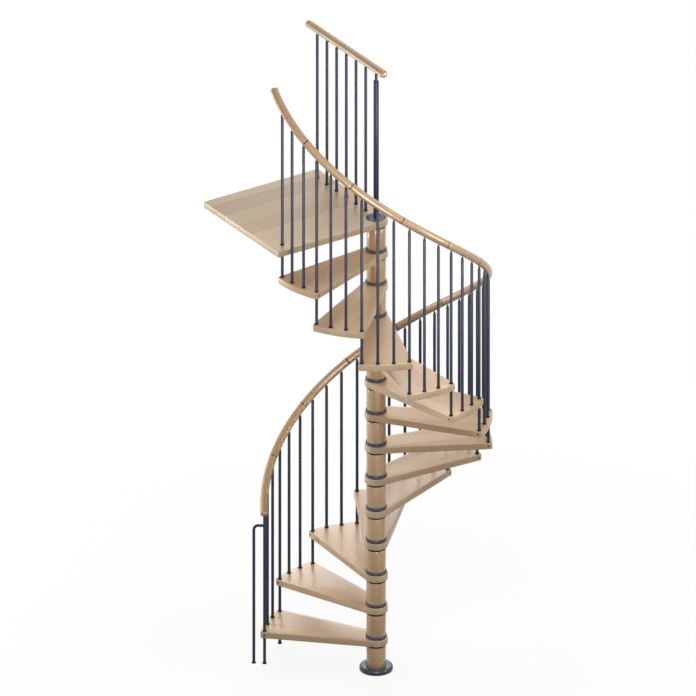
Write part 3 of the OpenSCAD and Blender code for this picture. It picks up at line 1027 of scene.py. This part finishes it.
@dataclass
class Treads:
    """Wedge-shaped beech treads with a round hub and eased edges."""

    plan: StairPlan
    margin: float = 0.017
    corner_r: float = 0.012
    edge_ease: float = 0.0025
    rim_steps: int = 20
    grain_run: float = 1.31
    screw: GrubScrew = GrubScrew()

    @property
    def half_angle(self) -> float:
        """Half of the angle that the outer edge takes, corner to corner."""
        return self.plan.turn / 2 + math.asin(self.margin / self.plan.outer_r)

    @property
    def lean(self) -> float:
        """Angle of a straight edge to the tread's middle line."""
        return self.half_angle - math.asin(self.plan.hub_r / self.plan.outer_r)

    def build(self) -> list[Piece]:
        """Build and dress all treads.

        Returns:
            One piece a tread, and the screws.
        """
        plan = self.plan
        blank = self._blank()
        pieces = []
        for number in plan.treads:
            place = self._place(number)
            board = Bench.copy(blank, f"tread_board_{number:02d}", place)
            for index in (plan.gaps_per_tread * (number - 1), plan.gaps_per_tread * number):
                if number in plan.pierced_treads(index):
                    spot = plan.at_baluster(index, plan.tread_z(number)).translation
                    Bench.drill_down(board, spot, plan.board_t, plan.tube_hole_r)
            Bench.smooth(board)
            # Each tread is cut from other boards, with a whole board along its middle.
            shift = (self.grain_run * number, (0.5 + 4 * number) * Finish.TREAD.board_w, 0.0)
            lay_grain(board, StraightGrain(Matrix.Translation(shift) @ place.inverted()))
            pieces.append(dress(board, Finish.TREAD, f"tread_{number:02d}"))
        bpy.data.objects.remove(blank, do_unlink=True)
        pieces.append(self._screws())
        return pieces

    def _place(self, number: int) -> Matrix:
        """Placement of a tread that was shaped about the X axis."""
        middle = self.plan.baluster_angle(self.plan.gaps_per_tread * (number - 0.5))
        return lift(self.plan.tread_z(number)) @ Matrix.Rotation(middle, 4, "Z")

    def _blank(self) -> Piece:
        """Shape one tread about the X axis with its top at the origin's height.

        Returns:
            The tread before its baluster holes are drilled.
        """
        plan = self.plan
        foot = -plan.board_t
        hub_x = -plan.hub_r * math.sin(self.lean)
        corner = Vector((math.cos(self.half_angle), math.sin(self.half_angle), 0.0)) * plan.outer_r
        bpy.ops.mesh.primitive_circle_add(
            vertices=96, radius=plan.hub_r, fill_type="NGON", location=(0, 0, foot))
        board = Bench.begin("tread_blank")
        with Bench.editing(board):
            Bench.pick_all(Kind.VERT)
            bpy.ops.mesh.bisect(plane_co=(hub_x, 0, foot), plane_no=(1, 0, 0), clear_outer=True)
        cut_y = max(v.co.y for v in board.data.vertices if abs(v.co.x - hub_x) < NEAR)
        with Bench.editing(board):
            Bench.pick(Kind.EDGE, lambda edge: all(abs(v.co.x - hub_x) < NEAR for v in edge.verts))
            Bench.draw_out((corner.x - hub_x, 0, 0))
            bpy.ops.transform.resize(value=(1, corner.y / cut_y, 1))
            Bench.pick(Kind.VERT, lambda v: v.co.x > corner.x - NEAR and v.co.y < 0)
            bpy.ops.mesh.spin(
                steps=self.rim_steps, angle=-2 * self.half_angle, center=(0, 0, foot), axis=(0, 0, 1))
            Bench.weld(reach=1e-5)
            Bench.pick(Kind.EDGE, lambda edge: all(v.co.x > corner.x - NEAR for v in edge.verts))
            bpy.ops.mesh.edge_face_add()
            Bench.pick_all(Kind.FACE)
            bpy.ops.mesh.dissolve_faces()
            Bench.pick(Kind.VERT, lambda v: (Vector((v.co.x, abs(v.co.y), 0)) - corner).length < NEAR)
            fillet = self.corner_r / math.tan((math.pi / 2 - math.asin(plan.hub_r / plan.outer_r)) / 2)
            bpy.ops.mesh.bevel(affect="VERTICES", offset=fillet, segments=6)
            Bench.pick_all(Kind.FACE)
            Bench.draw_out((0, 0, plan.board_t))
            Bench.close_up()
        Bench.ease(board, self.edge_ease)
        Bench.drill_down(board, Vector((0, 0, 0)), plan.board_t, plan.pole_hole_r, sides=64)
        for spot, outward in self._screw_spots():
            self.screw.drill(board, spot, outward)
        return board

    def _screw_spots(self) -> list[tuple[Vector, Vector]]:
        """Where the grub screws enter the two straight edges of a tread at the origin.

        Returns:
            For each screw its place on the edge and the direction out of the wood.
        """
        plan = self.plan
        reach = math.sqrt(plan.baluster_circle ** 2 - plan.hub_r ** 2)
        spots = []
        for side in (1, -1):
            outward = Vector((-math.sin(self.lean), side * math.cos(self.lean), 0.0))
            along = Vector((math.cos(self.lean), side * math.sin(self.lean), 0.0))
            spots.append((outward * plan.hub_r + along * reach - UP * plan.board_t / 2, outward))
        return spots

    def _screws(self) -> Piece:
        """Set the screws into the edges of all treads.

        Returns:
            All screws as one piece.
        """
        places = [self._place(number) @ self.screw.seat(spot, outward)
                  for number in self.plan.treads for spot, outward in self._screw_spots()]
        return dress(Bench.repeat(self.screw.model(), "tread_grub_screws", places), Finish.BLACK)


@dataclass
class Landing:
    """The square landing, the disc and post on the column, and the rail above the landing."""

    plan: StairPlan
    reach: float = 0.749
    corner_r: float = 0.005
    edge_ease: float = 0.002
    cap_r: float = 0.060
    cap_h: float = 0.003
    cap_ease: float = 0.001
    post_r: float = 0.0165
    post_h: float = 0.920
    post_bevel: float = 0.006
    post_ease: float = 0.0006
    rail_height: float = 0.997
    rail_start: float = 0.097
    rail_round: float = 0.014
    grain_run: float = 9.3
    grain_side: float = 0.2
    baluster_count: int = 6
    first_baluster: float = 0.115
    last_baluster: float = 0.646
    screw: GrubScrew = GrubScrew()

    @property
    def top(self) -> float:
        """Height of the landing."""
        return self.plan.floor_to_floor

    @property
    def tip_z(self) -> float:
        """Top of the pins under the level handrail."""
        return self.top + self.rail_height - self.plan.rail_r - self.plan.gap

    @property
    def screw_at(self) -> tuple[Vector, Vector]:
        """Where the grub screw enters the near edge, and the direction out of the wood."""
        spot = Vector((-self.plan.baluster_circle, -self.plan.hub_r, self.top - self.plan.board_t / 2))
        return spot, Vector((0, -1, 0))

    def baluster_y(self, index: int) -> float:
        """Distance of a landing baluster from the column's axis."""
        step = (self.last_baluster - self.first_baluster) / (self.baluster_count - 1)
        return self.first_baluster + index * step

    def build(self) -> list[Piece]:
        """Build and dress the landing.

        Returns:
            Its pieces.
        """
        return [self._board(), self._screw(), self._cap(), self._post(), self._handrail()]

    def _board(self) -> Piece:
        """Shape the square board, round its corners and drill it.

        Returns:
            The board.
        """
        plan = self.plan
        side = self.reach + plan.hub_r
        middle = (plan.hub_r - self.reach) / 2
        bpy.ops.mesh.primitive_plane_add(size=side, location=(middle, -middle, self.top - plan.board_t))
        board = Bench.begin("landing_board")
        with Bench.editing(board):
            Bench.pick(Kind.VERT, lambda v: v.co.x > 0 and v.co.y < 0)
            bpy.ops.mesh.bevel(affect="VERTICES", offset=plan.hub_r, segments=24)
            Bench.pick(Kind.VERT, lambda v: math.hypot(*v.co.xy) > self.reach)
            bpy.ops.mesh.bevel(affect="VERTICES", offset=self.corner_r, segments=4)
            Bench.pick_all(Kind.FACE)
            Bench.draw_out((0, 0, plan.board_t))
            Bench.close_up()
        Bench.ease(board, self.edge_ease)
        Bench.drill_down(board, UP * self.top, plan.board_t, plan.pole_hole_r, sides=64)
        Bench.drill_down(board, Vector((-plan.baluster_circle, 0, self.top)), plan.board_t, plan.tube_hole_r)
        self.screw.drill(board, *self.screw_at)
        Bench.smooth(board)
        lie = Matrix(((-1, 0, 0, 0), (0, 1, 0, plan.hub_r), (0, 0, 1, 0), (0, 0, 0, 1)))
        lay_grain(board, StraightGrain(lie))
        return dress(board, Finish.LANDING, "landing")

    def _screw(self) -> Piece:
        """Set the screw into the landing's near edge.

        Returns:
            The screw.
        """
        screw = self.screw.model()
        screw.data.transform(self.screw.seat(*self.screw_at))
        screw.name = "landing_grub_screw"
        return dress(screw, Finish.BLACK)

    def _cap(self) -> Piece:
        """Turn the disc that closes the column.

        Returns:
            The disc.
        """
        cap = Bench.billet("column_cap", self.cap_r, self.top, self.top + self.cap_h, sides=96)
        with Bench.editing(cap):
            Bench.pick_rim(self.cap_r, self.top + self.cap_h)
            bpy.ops.mesh.bevel(offset=self.cap_ease, segments=3)
            Bench.close_up()
        Bench.smooth(cap)
        return dress(cap, Finish.RING, "landing_cap")

    def _post(self) -> Piece:
        """Turn the post with its bevelled shoulder, and draw out the stub on it.

        Returns:
            The post.
        """
        plan = self.plan
        shoulder = self.top + self.post_h - self.post_bevel
        narrow = 1 - self.post_bevel / 2 / self.post_r
        post = Bench.billet("newel_post", self.post_r, self.top + self.cap_h, shoulder, sides=48)
        with Bench.editing(post):
            Bench.pick_tops()
            Bench.draw_out((0, 0, self.post_bevel))
            bpy.ops.transform.resize(value=(narrow, narrow, 1))
            bpy.ops.mesh.inset(thickness=self.post_r * narrow - plan.tube_r)
            Bench.draw_out((0, 0, self.tip_z - plan.tip_h - self.top - self.post_h))
            Bench.close_up()
        Bench.ease(post, self.post_ease, segments=2)
        Bench.smooth(post)
        return dress(post, Finish.STEEL, "landing_post")

    def _handrail(self) -> Piece:
        """Turn the level handrail and round its two ends.

        Returns:
            The handrail.
        """
        length = self.rail_start + self.reach
        height = self.top + self.rail_height
        middle = (0, length / 2 - self.rail_start, height)
        bpy.ops.mesh.primitive_cylinder_add(
            vertices=48, radius=self.plan.rail_r, depth=length, location=middle, rotation=(math.pi / 2, 0, 0))
        rail = Bench.begin("level_handrail")
        with Bench.editing(rail):
            Bench.pick(Kind.EDGE, lambda edge: abs(edge.verts[0].co.y - edge.verts[1].co.y) < NEAR)
            bpy.ops.mesh.bevel(offset=self.rail_round, segments=6)
            Bench.close_up()
        Bench.smooth(rail)
        lie = Matrix(((0, 1, 0, self.grain_run), (1, 0, 0, self.grain_side),
                      (0, 0, 1, -height), (0, 0, 0, 1)))
        lay_grain(rail, StraightGrain(lie))
        return dress(rail, Finish.RAIL, "landing_handrail")


# Balusters


class Reach(Enum):
    """The two kinds of tube in the flight."""

    LONG = "long"
    SHORT = "short"


@dataclass
class Balusters:
    """Steel tubes with black collars, tapered pins, sleeves under the treads and feet on the floor."""

    plan: StairPlan
    landing: Landing
    sides: int = 32
    tube_ease: float = 0.0008
    collar_r: float = 0.013
    collar_h: float = 0.006
    collar_round: float = 0.003
    ferrule_wall: float = 0.002
    ferrule_h: float = 0.011
    ferrule_ease: float = 0.0005
    tip_sides: int = 24
    tip_foot_r: float = 0.0075
    foot_h: float = 0.008
    start_offset: float = 0.065
    start_h: float = 0.924
    start_bend: float = 0.030

    def build(self) -> list[Piece]:
        """Build and dress the balustrade.

        Returns:
            Its pieces.
        """
        return [self._tubes(Reach.LONG), self._tubes(Reach.SHORT), self._landing_tubes(), self._collars(),
                self._tips(), self._landing_fittings(), self._ferrules(), self._start_tube(), self._feet()]

    def _tube(self, length: float) -> Piece:
        """Draw a tube that stands on the origin, with an eased top edge.

        Args:
            length: Its length.

        Returns:
            The tube.
        """
        tube = Bench.billet("tube", self.plan.tube_r, 0.0, length, self.sides)
        with Bench.editing(tube):
            Bench.pick_rim(self.plan.tube_r, length)
            bpy.ops.mesh.bevel(offset=self.tube_ease, segments=2)
            Bench.close_up()
        Bench.smooth(tube)
        return tube

    def _tubes(self, reach: Reach) -> Piece:
        """Set the tubes of the flight.

        Args:
            reach: Those that pass through a tread, or those between.

        Returns:
            The tubes as one piece.
        """
        plan = self.plan
        patterns: dict[float, Piece] = {}
        tubes = []
        for index in plan.balusters:
            if plan.is_long(index) != (reach is Reach.LONG):
                continue
            stand = plan.standing_tread(index)
            bottom = plan.tread_z(stand) if stand else plan.foot_floor
            length = plan.tip_z(index) - plan.tip_h - bottom
            key = round(length, 5)
            if key not in patterns:
                patterns[key] = self._tube(length)
            tubes.append(Bench.copy(patterns[key], "tube_copy", plan.at_baluster(index, bottom)))
        for pattern in patterns.values():
            bpy.data.objects.remove(pattern, do_unlink=True)
        return dress(Bench.gather(tubes, f"{reach.value}_tubes"), Finish.STEEL, f"{reach.value}_balusters")

    def _landing_places(self, height: float) -> list[Matrix]:
        """Placements on the axes of the landing balusters, at a height."""
        return [Matrix.Translation((0, self.landing.baluster_y(index), height))
                for index in range(self.landing.baluster_count)]

    def _landing_tubes(self) -> Piece:
        """Set the tubes on the landing.

        Returns:
            The tubes as one piece.
        """
        tube = self._tube(self.landing.tip_z - self.plan.tip_h - self.landing.top)
        tubes = Bench.repeat(tube, "landing_tubes", self._landing_places(self.landing.top))
        return dress(tubes, Finish.STEEL, "landing_balusters")

    def _collar(self) -> Piece:
        """Turn one collar on the origin.

        Returns:
            The collar.
        """
        collar = Bench.billet("collar", self.collar_r, 0.0, self.collar_h, self.sides)
        with Bench.editing(collar):
            Bench.bore(self.plan.tube_hole_r, self.collar_r)
            Bench.pick_rim(self.collar_r, self.collar_h)
            bpy.ops.mesh.bevel(offset=self.collar_round, segments=4)
            Bench.close_up()
        Bench.smooth(collar)
        return collar

    def _collars(self) -> Piece:
        """Set a collar round every baluster of the flight, on each tread that it meets.

        Returns:
            The collars as one piece.
        """
        plan = self.plan
        places = [plan.at_baluster(index, plan.tread_z(number))
                  for index in plan.balusters for number in plan.collared_treads(index)]
        return dress(Bench.repeat(self._collar(), "tube_collars", places), Finish.BLACK, "baluster_collars")

    def _tip(self) -> Piece:
        """Turn one tapered pin on the origin.

        Returns:
            The pin.
        """
        ratio = self.plan.tip_top_r / self.tip_foot_r
        tip = Bench.billet("tip", self.tip_foot_r, 0.0, self.plan.tip_h, self.tip_sides)
        with Bench.editing(tip):
            Bench.pick_tops()
            bpy.ops.transform.resize(value=(ratio, ratio, 1))
            Bench.close_up()
        Bench.smooth(tip)
        return tip

    def _tips(self) -> Piece:
        """Set the pins of the flight.

        Returns:
            The pins as one piece.
        """
        plan = self.plan
        places = [plan.at_baluster(index, plan.tip_z(index) - plan.tip_h) for index in plan.balusters]
        return dress(Bench.repeat(self._tip(), "tapered_pins", places), Finish.BLACK, "baluster_tips")

    def _landing_fittings(self) -> Piece:
        """Set the collars and pins on the landing, and the pin on the post.

        Returns:
            The fittings as one piece.
        """
        height = self.landing.tip_z - self.plan.tip_h
        parts = [Bench.repeat(self._collar(), "landing_collars", self._landing_places(self.landing.top)),
                 Bench.repeat(self._tip(), "landing_pins", self._landing_places(height) + [lift(height)])]
        return dress(Bench.gather(parts, "landing_collars_and_pins"), Finish.BLACK, "landing_fittings")

    def _ferrules(self) -> Piece:
        """Set the short sleeves where long tubes come out below a tread.

        Returns:
            The sleeves as one piece.
        """
        plan = self.plan
        radius = plan.tube_hole_r + self.ferrule_wall
        ferrule = Bench.billet("ferrule", radius, 0.0, self.ferrule_h, self.sides)
        with Bench.editing(ferrule):
            Bench.bore(plan.tube_hole_r, radius)
            Bench.close_up()
        Bench.ease(ferrule, self.ferrule_ease, segments=2)
        Bench.smooth(ferrule)
        places = [plan.at_baluster(index, plan.under_z(number) - self.ferrule_h)
                  for index in plan.balusters for number in plan.pierced_treads(index)]
        return dress(Bench.repeat(ferrule, "under_tread_sleeves", places), Finish.BLACK, "tread_ferrules")

    def _start_tube(self) -> Piece:
        """Bend the tube outside the lowest baluster.

        Returns:
            The tube.
        """
        plan = self.plan
        leg_x = plan.baluster_circle + self.start_offset
        bend_z = self.start_h - self.start_bend
        run_end = plan.baluster_circle + plan.tube_r + plan.gap
        bpy.ops.mesh.primitive_circle_add(
            vertices=self.sides, radius=plan.tube_r, fill_type="NOTHING",
            location=(leg_x, 0, plan.foot_floor))
        tube = Bench.begin("bent_start_tube")
        with Bench.editing(tube):
            Bench.pick_all(Kind.EDGE)
            Bench.draw_out((0, 0, bend_z - plan.foot_floor))
            bpy.ops.mesh.spin(
                steps=16, angle=math.pi / 2, center=(leg_x - self.start_bend, 0, bend_z), axis=(0, 1, 0))
            Bench.draw_out((run_end + self.start_bend - leg_x, 0, 0))
            Bench.pick_all(Kind.EDGE)
            bpy.ops.mesh.fill_holes(sides=0)
            Bench.close_up()
        tube.data.transform(Matrix.Rotation(plan.baluster_angle(0), 4, "Z"))
        Bench.smooth(tube)
        return dress(tube, Finish.STEEL, "start_tube")

    def _feet(self) -> Piece:
        """Turn the cup-shaped feet of the tubes that reach the floor.

        Returns:
            The feet as one piece.
        """
        plan = self.plan
        foot = Bench.billet("foot", self.collar_r, 0.0, self.foot_h, self.sides)
        with Bench.editing(foot):
            Bench.pick_tops()
            bpy.ops.mesh.inset(thickness=self.collar_r - plan.tube_hole_r)
            Bench.draw_out((0, 0, plan.foot_floor - self.foot_h))
            Bench.pick_rim(self.collar_r, self.foot_h)
            bpy.ops.mesh.bevel(offset=self.collar_round, segments=4)
            Bench.close_up()
        Bench.smooth(foot)
        outer = plan.at_baluster(0, 0.0) @ Matrix.Translation((self.start_offset, 0, 0))
        places = [plan.at_baluster(0, 0.0), plan.at_baluster(plan.gaps_per_tread, 0.0), outer]
        return dress(Bench.repeat(foot, "tube_feet", places), Finish.BLACK, "floor_feet")


# Flight handrail


@dataclass
class FlightHandrail:
    """Round beech handrail that climbs the helix in bevelled pieces with rounded free ends."""

    plan: StairPlan
    pieces: int = 13
    start: float = 0.117
    end: float = 0.110
    end_extra: float = 0.017
    end_round: float = 0.014
    joint: float = 0.003
    grain_run: float = 2.3
    sides: int = 48
    steps: int = 24

    def build(self) -> list[Piece]:
        """Build and dress all pieces of the handrail.

        Returns:
            One piece for each length of timber.
        """
        joints = [self._joint_at(number) for number in range(self.pieces + 1)]
        return [self._length(number, joints[number - 1], joints[number] - joints[number - 1])
                for number in range(1, self.pieces + 1)]

    def _joint_at(self, number: int) -> float:
        """Where a joint is; the first and the last are the free ends.

        Args:
            number: Number of the joint, from 0 at the foot of the flight.

        Returns:
            Its place, counted in balusters.
        """
        first = -self.start / self.plan.gap_run
        last = self.plan.last_baluster + self.end / self.plan.gap_run
        extra = self.end_extra / self.plan.gap_run
        if number in (0, self.pieces):
            return last if number else first
        return first + extra + number * (last - first - 2 * extra) / self.pieces

    def _length(self, number: int, low: float, span: float) -> Piece:
        """Sweep one length of the handrail.

        Args:
            number: Its number from the foot of the flight.
            low: Where it begins, counted in balusters.
            span: Its length, counted in balusters.

        Returns:
            The length of handrail.
        """
        plan = self.plan
        bpy.ops.mesh.primitive_circle_add(
            vertices=self.sides, radius=plan.rail_r, fill_type="NOTHING",
            location=(plan.baluster_circle, 0, 0), rotation=(math.pi / 2 - plan.slope, 0, 0))
        rail = Bench.begin(f"rail_length_{number:02d}")
        sweep = rail.modifiers.new("sweep", "SCREW")
        sweep.axis = "Z"
        sweep.angle = -span * plan.gap_angle
        sweep.screw_offset = span * plan.gap_rise
        sweep.steps = self.steps
        sweep.render_steps = self.steps
        Bench.take(rail)
        bpy.ops.object.modifier_apply(modifier=sweep.name)
        with Bench.editing(rail):
            Bench.pick_all(Kind.EDGE)
            bpy.ops.mesh.fill_holes(sides=0)
            Bench.close_up()
            self._trim_end(0.0, number == 1)
            self._trim_end(span, number == self.pieces)
            Bench.close_up()
        rail.data.transform(lift(plan.rail_z(low)) @ Matrix.Rotation(plan.baluster_angle(low), 4, "Z"))
        Bench.smooth(rail)
        lay_grain(rail, HelixGrain(plan, self.grain_run * number))
        self._mark_joints(rail, number, low, span)
        return dress(rail, Finish.RAIL, f"handrail_{number:02d}")

    def _trim_end(self, at: float, free: bool) -> None:
        """Round or bevel one end of the length in edit mode.

        Args:
            at: Where the end is, counted in balusters from the length's beginning.
            free: True for a free end, which is rounded, and False for a joint.
        """
        plan = self.plan
        angle = -at * plan.gap_angle
        middle = Vector((math.cos(angle), math.sin(angle), 0.0)) * plan.baluster_circle
        middle.z = at * plan.gap_rise
        tangent = Vector((math.sin(angle), -math.cos(angle), 0.0)) * math.cos(plan.slope)
        tangent.z = math.sin(plan.slope)
        Bench.pick(Kind.EDGE, lambda edge: all(
            abs((v.co - middle).dot(tangent)) < NEAR and (v.co - middle).length < 2 * plan.rail_r
            for v in edge.verts))
        if free:
            bpy.ops.mesh.bevel(offset=self.end_round, segments=6)
        else:
            bpy.ops.mesh.bevel(offset=self.joint, segments=2, profile=0.6)

    def _mark_joints(self, rail: Piece, number: int, low: float, span: float) -> None:
        """Mark the bevels at the joints, where the lacquer soaks into the end grain.

        Args:
            rail: The length of handrail.
            number: Its number from the foot of the flight.
            low: Where it begins, counted in balusters.
            span: Its length, counted in balusters.
        """
        unit = math.hypot(self.plan.gap_run, self.plan.gap_rise)
        grain = HelixGrain(self.plan)
        ends = [end for end, free in ((low, number == 1), (low + span, number == self.pieces)) if not free]
        groove = rail.data.attributes.new("groove", "FLOAT", "FACE")
        for face in rail.data.polygons:
            along = grain.chart(face.center).x
            groove.data[face.index].value = float(any(abs(along - end * unit) < self.joint for end in ends))


# Studio


def set_up(name: str, data: bpy.types.ID, place: Vector, turn: Quaternion) -> bpy.types.Object:
    """Put a lamp or a camera in the scene.

    Args:
        name: Its name.
        data: The light or the lens.
        place: Where it is.
        turn: How it is turned.

    Returns:
        The lamp or camera.
    """
    thing = bpy.data.objects.new(name, data)
    thing.location = place
    thing.rotation_euler = turn.to_euler()
    bpy.context.scene.collection.objects.link(thing)
    return thing


@dataclass(frozen=True)
class Softbox:
    """A flat lamp of the studio, which hangs at a place and faces a point."""

    name: str
    place: Point
    aim: Point
    width: float
    height: float
    power: float
    glint: bool = False

    def hang(self, boards: bpy.types.Collection) -> None:
        """Hang the lamp; one for glints shows only in turned and painted surfaces.

        Args:
            boards: The flat boards, which a lamp for glints would bleach at a low angle.
        """
        light = bpy.data.lights.new(self.name, "AREA")
        light.shape = "RECTANGLE"
        light.size = self.width
        light.size_y = self.height
        light.energy = self.power
        place = Vector(self.place)
        lamp = set_up(self.name, light, place, (Vector(self.aim) - place).to_track_quat("-Z", "Y"))
        lamp.visible_diffuse = not self.glint
        lamp.visible_camera = False
        if self.glint:
            lamp.light_linking.receiver_collection = boards


@dataclass(frozen=True)
class SkyLamp:
    """A far soft lamp overhead, which lights the top of every tread alike."""

    name: str
    azimuth: float
    elevation: float
    spread: float
    strength: float
    distance: float = 8.0

    def hang(self, boards: bpy.types.Collection) -> None:
        """Hang the lamp.

        Args:
            boards: The flat boards, which this lamp lights as it does the rest; not used.
        """
        light = bpy.data.lights.new(self.name, "SUN")
        light.angle = self.spread
        light.energy = self.strength
        towards = Vector((math.cos(self.azimuth), math.sin(self.azimuth), 0.0)) * math.cos(self.elevation)
        towards.z = math.sin(self.elevation)
        set_up(self.name, light, towards * self.distance, towards.to_track_quat("Z", "Y"))


@dataclass
class Studio:
    """Plain white floor, soft lamps and a camera with parallel projection."""

    azimuth: float = math.radians(-33.29)
    elevation: float = math.radians(26.29)
    width: float = 4.190
    aim_right: float = -0.1696
    aim_up: float = 1.9309
    distance: float = 14.0
    clip_end: float = 60.0
    low_sky: float = 0.06
    high_sky: float = 0.16
    sky_tint: Colour = (1.0, 0.985, 0.965, 1.0)
    floor_r: float = 26.0
    floor_z: float = -0.001
    floor_white: float = 0.95
    bounce: float = 0.12
    shadow_near: float = 1.2
    shadow_far: float = 3.5
    shadow_glow: float = 0.86
    lamps: tuple[Softbox | SkyLamp, ...] = (
        Softbox("front_panel", (-3.2, -3.8, 5.0), aim=(0.0, 0.0, 2.0), width=4.4, height=4.4, power=168.0),
        Softbox("right_panel", (3.8, -3.2, 5.0), aim=(0.0, 0.0, 2.0), width=4.4, height=4.4, power=158.0),
        Softbox("left_panel", (-3.9, 4.6, 1.9), aim=(0.0, 0.0, 1.9), width=2.2, height=3.8, power=205.0),
        Softbox("back_panel", (3.0, 5.2, 1.9), aim=(0.0, 0.0, 1.9), width=2.2, height=3.8, power=69.0),
        Softbox("front_glint", (-2.3, -4.4, 2.6), aim=(0.0, 0.0, 2.4), width=2.6, height=2.2, power=480.0,
                glint=True),
        Softbox("right_glint", (2.9, -4.1, 2.6), aim=(0.0, 0.0, 2.4), width=1.4, height=2.2, power=200.0,
                glint=True),
        SkyLamp("sky_lamp", azimuth=math.radians(57.0), elevation=math.radians(50.0),
                spread=math.radians(40.0), strength=1.0),
    )

    def build(self) -> None:
        """Set up the floor, the light and the camera."""
        self._floor()
        self._world()
        boards = self._boards()
        for lamp in self.lamps:
            lamp.hang(boards)
        self._camera()
        bpy.context.scene.view_settings.view_transform = "Standard"

    @staticmethod
    def _boards() -> bpy.types.Collection:
        """Gather the treads and the landing, and leave them out of the light that is linked to the group.

        Returns:
            The group, which isn't in the scene itself.
        """
        boards = bpy.data.collections.new("flat_boards")
        for piece in bpy.data.objects:
            if piece.name.startswith(("tread_board", "landing_board")):
                boards.objects.link(piece)
        for member in boards.collection_objects:
            member.light_linking.link_state = "EXCLUDE"
        return boards

    @staticmethod
    def _seen(nodes: Nodes) -> Socket:
        """Tell rays from the camera, in reflections and through other things from the rest.

        Args:
            nodes: The nodes to add to.

        Returns:
            A socket that is 1 for them and 0 for the light on the object.
        """
        rays = nodes.add("LightPath", {}).outputs
        seen = nodes.maths("MAXIMUM", rays["Is Camera Ray"], rays["Is Glossy Ray"])
        return nodes.maths("MAXIMUM", seen, rays["Is Transmission Ray"])

    def _world(self) -> None:
        """White to the camera and in reflections, and a light on the object that grows with height."""
        world = bpy.data.worlds.new("studio_white")
        bpy.context.scene.world = world
        world.use_nodes = True
        nodes = Nodes(world.node_tree)
        height = nodes.split(nodes.place("Generated"))[2]
        strength = nodes.span(height, 0.0, 1.0, self.low_sky, self.high_sky)
        sky = nodes.add("Background", {"Color": self.sky_tint, "Strength": strength})
        white = nodes.add("Background", {"Color": WHITE, "Strength": 1.0})
        nodes.add("OutputWorld", {"Surface": nodes.join(self._seen(nodes), sky, white)})

    def _floor(self) -> None:
        """Lay a round white floor that keeps a soft shadow near the foot of the stair."""
        bpy.ops.mesh.primitive_circle_add(
            vertices=96, radius=self.floor_r, fill_type="NGON", location=(0, 0, self.floor_z))
        floor = Bench.begin("studio_floor")
        material = bpy.data.materials.new("white_floor")
        material.use_nodes = True
        nodes = Nodes(material.node_tree)
        seen = self._seen(nodes)
        matt = nodes.add("BsdfDiffuse", {"Color": nodes.span(seen, 0.0, 1.0, self.bounce, self.floor_white)})
        white = nodes.add("Emission", {"Color": WHITE, "Strength": 1.0})
        away = nodes.length(nodes.place())
        glow = nodes.span(away, self.shadow_near, self.shadow_far, self.shadow_glow, 1.0)
        part = nodes.maths("MULTIPLY", seen, glow)
        nodes.add("OutputMaterial", {"Surface": nodes.join(part, matt, white)})
        floor.data.materials.append(material)

    def _camera(self) -> None:
        """Set up the camera at the photograph's angle."""
        sin_a, cos_a = math.sin(self.azimuth), math.cos(self.azimuth)
        sin_e, cos_e = math.sin(self.elevation), math.cos(self.elevation)
        right = Vector((cos_a, sin_a, 0.0))
        up = Vector((-sin_a * sin_e, cos_a * sin_e, cos_e))
        back = Vector((sin_a * cos_e, -cos_a * cos_e, sin_e))
        aim = right * self.aim_right + up * self.aim_up
        lens = bpy.data.cameras.new("studio_camera")
        lens.type = "ORTHO"
        lens.ortho_scale = self.width
        lens.clip_end = self.clip_end
        camera = set_up("studio_camera", lens, aim + back * self.distance, back.to_track_quat("Z", "Y"))
        bpy.context.scene.camera = camera


def main() -> None:
    """Build the sub-assemblies in order, then the studio."""
    logging.basicConfig(level=logging.INFO, format="%(name)s: %(message)s")
    plan = StairPlan()
    landing = Landing(plan)
    builders = (Column(plan), Treads(plan), landing, Balusters(plan, landing), FlightHandrail(plan))
    for builder in builders:
        pieces = builder.build()
        log.info("%s: %d pieces", type(builder).__name__, len(pieces))
    Studio().build()


if __name__ == "__main__":
    main()
